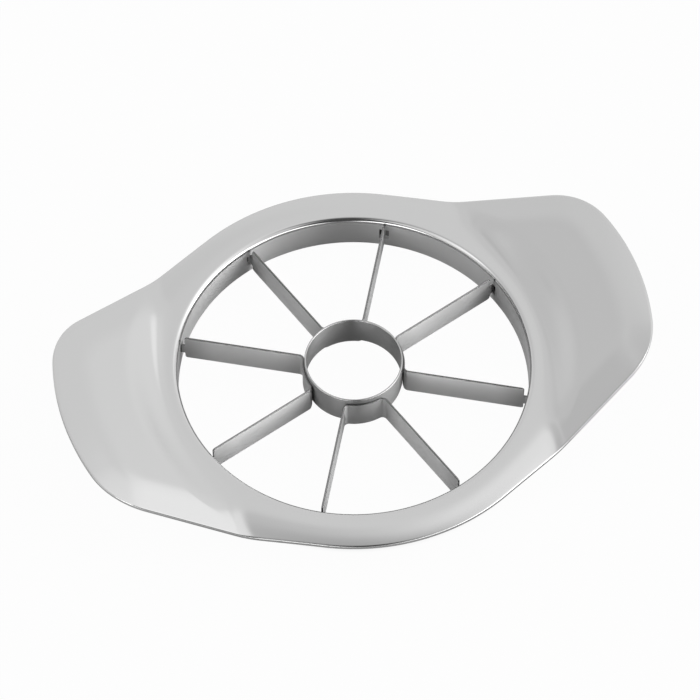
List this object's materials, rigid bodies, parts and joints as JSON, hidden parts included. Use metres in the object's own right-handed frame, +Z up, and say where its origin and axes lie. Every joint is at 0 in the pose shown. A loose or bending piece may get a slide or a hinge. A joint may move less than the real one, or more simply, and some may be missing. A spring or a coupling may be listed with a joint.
{
  "type": "apple slicer",
  "caption": "Hand-pressed apple slicer: a pressed steel frame with wing grips and a drawn collar that holds radial blades round a core ring.",
  "frame": {"origin": "on the opening's axis, in the plane of the collar's lower rim that the tool rests on", "axes": "+Z up, from the rim towards the hand; X along the two wing grips; Y across them"},
  "size_m": [0.1614, 0.1154, 0.0208],
  "materials": {
    "pressed_stainless": "polished, slightly satin",
    "blade_stainless": "bright rolled strip with a ground cutting bevel"
  },
  "bodies": {
    "root": {"handle_frame": "pressed_stainless", "core_ring": "blade_stainless", "blade_strip_1": "blade_stainless", "blade_strip_2": "blade_stainless", "blade_strip_3": "blade_stainless", "blade_strip_4": "blade_stainless"}
  },
  "joints": []
}
